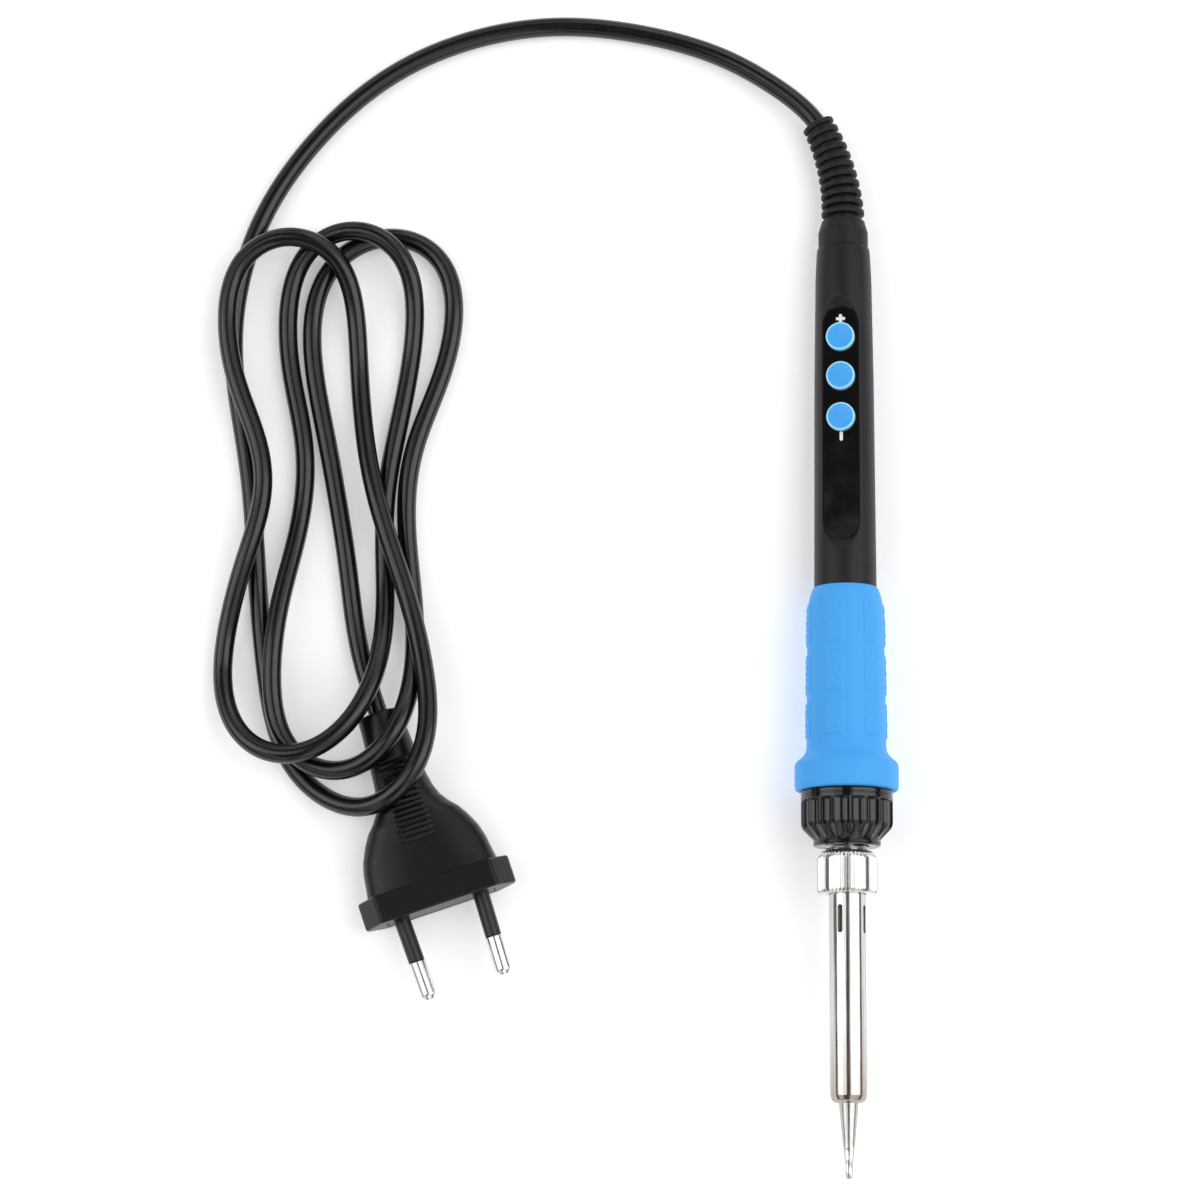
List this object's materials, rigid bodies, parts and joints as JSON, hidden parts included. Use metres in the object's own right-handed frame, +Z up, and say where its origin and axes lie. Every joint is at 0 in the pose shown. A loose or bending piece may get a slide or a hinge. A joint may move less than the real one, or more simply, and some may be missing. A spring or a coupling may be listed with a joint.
{
  "type": "soldering iron",
  "caption": "Mains soldering iron with a conical tip in a slotted steel barrel, knurled nut, fluted collar, rubber grip, three-button display handle, and a coiled cord with a two-pin plug.",
  "frame": {"origin": "bottom centre of the iron without its cord: the floor under the middle of the iron's length, below its axis", "axes": "+Y along the iron from the tip to the cord end, +Z up with the buttons on top, +X to the right seen from the tip end"},
  "size_m": [0.1548, 0.2674, 0.0237],
  "materials": {
    "tip_plating": "satin iron-and-chrome plating, duller and tinned at the working end",
    "barrel_steel": "polished stainless steel, fine lengthwise drawing marks",
    "nut_steel": "bright nickel plate with a fine straight knurl",
    "nipple_steel": "turned steel, satin",
    "ceramic": "fired alumina, matt white",
    "sleeving": "varnished glass-fibre sleeving",
    "lead_wire": "nickel-plated heater lead",
    "collar_plastic": "black glass-filled nylon, slight sheen",
    "grip_rubber": "light-blue silicone rubber, fine matt skin",
    "handle_plastic": "black satin moulded plastic",
    "panel_gloss": "deep glossy black smoked cover",
    "mark_white": "white print",
    "button_blue": "light-blue satin plastic with a paler bevelled rim",
    "switch_black": "black plastic",
    "switch_metal": "tinned steel switch frame",
    "board_green": "green solder mask",
    "display_frame": "white display backing",
    "display_glass": "grey liquid-crystal glass",
    "chip_black": "black epoxy package",
    "capacitor_yellow": "yellow epoxy box",
    "capacitor_sleeve": "dark blue shrink sleeve",
    "resistor_body": "tan lacquered body",
    "mains_wire": "brown insulated core",
    "relief_rubber": "black soft PVC",
    "cord_pvc": "black PVC jacket with a soft sheen",
    "plug_pvc": "black moulded PVC",
    "pin_metal": "nickel-plated brass",
    "pin_sleeve_black": "black insulating sleeve"
  },
  "bodies": {
    "handle": {"handle_shell": "handle_plastic", "grip_sleeve": "grip_rubber", "panel_cover": "panel_gloss", "panel_marks": "mark_white", "tact_switches": "switch_metal", "circuit_board": "board_green", "display_backing": "display_frame", "display_glass": "display_glass", "control_chip": "chip_black", "triac": "chip_black", "film_capacitor": "capacitor_yellow", "round_capacitor": "capacitor_sleeve", "fuse_resistor": "resistor_body", "diodes": "chip_black", "mains_leads": "mains_wire", "strain_relief": "relief_rubber", "cord": "cord_pvc", "plug_body": "plug_pvc", "plug_bridge": "plug_pvc", "pin_sleeves": "pin_sleeve_black", "plug_pins": "pin_metal"},
    "heater_unit": {"heater_nipple": "nipple_steel", "heater_rod": "ceramic", "heater_base": "ceramic", "heater_leads": "lead_wire", "lead_sleeves": "sleeving"},
    "collar": {"locking_collar": "collar_plastic"},
    "barrel": {"tip_barrel": "barrel_steel", "tip": "tip_plating"},
    "nut": {"tip_nut": "nut_steel"},
    "plus_key": {"button_plus": "button_blue", "plunger_plus": "switch_black"},
    "power_key": {"button_power": "button_blue", "plunger_power": "switch_black"},
    "minus_key": {"button_minus": "button_blue", "plunger_minus": "switch_black"}
  },
  "joints": [
    {"name": "front_unit_draw", "type": "slide", "parent": "handle", "child": "heater_unit", "axis": [0, -0.9988, 0.0482], "range_m": [0, 0.0045]},
    {"name": "collar_turn", "type": "hinge", "parent": "heater_unit", "child": "collar", "pos_m": [0, -0.04279, 0.01227], "axis": [0, -0.9988, 0.0482], "range_deg": [0, 1080.1]},
    {"name": "barrel_draw", "type": "slide", "parent": "heater_unit", "child": "barrel", "axis": [0, -0.9988, 0.0482], "range_m": [0, 0.0045]},
    {"name": "nut_turn", "type": "hinge", "parent": "barrel", "child": "nut", "pos_m": [0, -0.05478, 0.01285], "axis": [0, -0.9988, 0.0482], "range_deg": [0, 2160.1]},
    {"name": "plus_press", "type": "slide", "parent": "handle", "child": "plus_key", "axis": [0.2079, -0.0471, -0.977], "range_m": [0, 0.0005], "stiffness_N_per_m": 300},
    {"name": "power_press", "type": "slide", "parent": "handle", "child": "power_key", "axis": [0.2079, -0.0471, -0.977], "range_m": [0, 0.0005], "stiffness_N_per_m": 300},
    {"name": "minus_press", "type": "slide", "parent": "handle", "child": "minus_key", "axis": [0.2079, -0.0471, -0.977], "range_m": [0, 0.0005], "stiffness_N_per_m": 300}
  ],
  "couplings": [
    {"joint": "collar_turn", "follows": "front_unit_draw", "rad_per_m": 4188.8},
    {"joint": "nut_turn", "follows": "barrel_draw", "rad_per_m": 8377.6}
  ]
}
